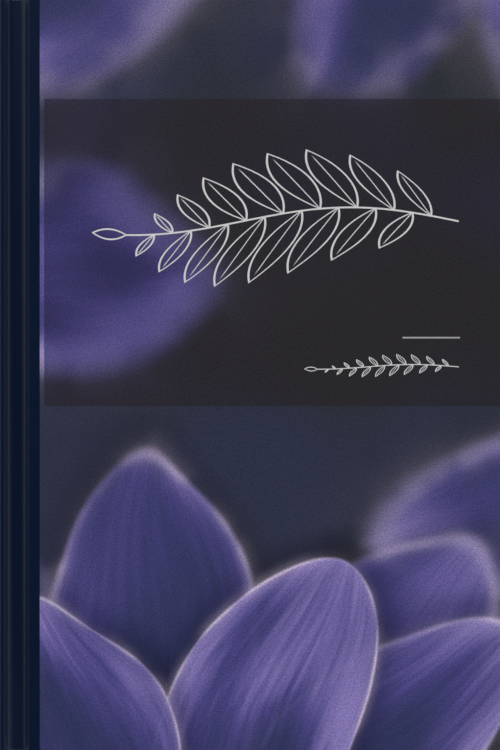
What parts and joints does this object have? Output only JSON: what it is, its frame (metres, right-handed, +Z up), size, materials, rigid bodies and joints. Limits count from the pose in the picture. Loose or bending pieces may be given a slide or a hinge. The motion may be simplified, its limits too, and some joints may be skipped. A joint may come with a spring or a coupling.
{
  "type": "hardback book",
  "caption": "Slim hardback book with printed boards, a dark spine and grooves; its covers swing open and draw up the leaves next to them.",
  "frame": {"origin": "middle of the case's lowest face, on the surface that the closed book lies on", "axes": "+X from the spine to the fore-edge, +Y from the tail to the head of the page, +Z up through the front cover"},
  "size_m": [0.16, 0.24, 0.014],
  "materials": {
    "cover_laminate": "satin laminated print over board",
    "spine_laminate": "satin laminated print, dark navy with a slim drawn sprig on the spine",
    "endpaper": "uncoated, heavy",
    "page_paper": "uncoated, cream white",
    "spine_lining": "kraft paper over gauze and glue",
    "headband_thread": "woven silk-like band"
  },
  "bodies": {
    "book": {"text_block": "page_paper", "spine_lining": "spine_lining", "spine_board": "spine_laminate", "front_joint": "spine_laminate", "back_joint": "spine_laminate", "front_leaf_roots": "page_paper", "back_leaf_roots": "page_paper", "headband_head": "headband_thread", "headband_tail": "headband_thread"},
    "front_cover": {"front_board": "cover_laminate", "front_pastedown": "endpaper"},
    "back_cover": {"back_board": "cover_laminate", "back_pastedown": "endpaper"},
    "front_flyleaf": {"front_flyleaf": "endpaper"},
    "front_leaf_1": {"front_leaf_1": "page_paper"},
    "front_leaf_2": {"front_leaf_2": "page_paper"},
    "back_flyleaf": {"back_flyleaf": "endpaper"},
    "back_leaf_1": {"back_leaf_1": "page_paper"},
    "back_leaf_2": {"back_leaf_2": "page_paper"}
  },
  "joints": [
    {"name": "front_cover_hinge", "type": "hinge", "parent": "book", "child": "front_cover", "pos_m": [-0.07585, 0, 0.0132], "axis": [0, -1, 0], "range_deg": [0, 178]},
    {"name": "back_cover_hinge", "type": "hinge", "parent": "book", "child": "back_cover", "pos_m": [-0.07585, 0, 0.0008], "axis": [0, 1, 0], "range_deg": [0, 178]},
    {"name": "front_flyleaf_hinge", "type": "hinge", "parent": "book", "child": "front_flyleaf", "pos_m": [-0.07035, 0, 0.01105], "axis": [0, -1, 0], "range_deg": [0, 40]},
    {"name": "front_leaf_1_hinge", "type": "hinge", "parent": "book", "child": "front_leaf_1", "pos_m": [-0.07035, 0, 0.01025], "axis": [0, -1, 0], "range_deg": [0, 18]},
    {"name": "front_leaf_2_hinge", "type": "hinge", "parent": "book", "child": "front_leaf_2", "pos_m": [-0.07035, 0, 0.00945], "axis": [0, -1, 0], "range_deg": [0, 8]},
    {"name": "back_flyleaf_hinge", "type": "hinge", "parent": "book", "child": "back_flyleaf", "pos_m": [-0.07035, 0, 0.00295], "axis": [0, 1, 0], "range_deg": [0, 40]},
    {"name": "back_leaf_1_hinge", "type": "hinge", "parent": "book", "child": "back_leaf_1", "pos_m": [-0.07035, 0, 0.00375], "axis": [0, 1, 0], "range_deg": [0, 18]},
    {"name": "back_leaf_2_hinge", "type": "hinge", "parent": "book", "child": "back_leaf_2", "pos_m": [-0.07035, 0, 0.00455], "axis": [0, 1, 0], "range_deg": [0, 8]}
  ],
  "couplings": [
    {"joint": "front_flyleaf_hinge", "follows": "front_cover_hinge", "ratio": 0.22},
    {"joint": "front_leaf_1_hinge", "follows": "front_cover_hinge", "ratio": 0.1},
    {"joint": "front_leaf_2_hinge", "follows": "front_cover_hinge", "ratio": 0.04},
    {"joint": "back_flyleaf_hinge", "follows": "back_cover_hinge", "ratio": 0.22},
    {"joint": "back_leaf_1_hinge", "follows": "back_cover_hinge", "ratio": 0.1},
    {"joint": "back_leaf_2_hinge", "follows": "back_cover_hinge", "ratio": 0.04}
  ]
}
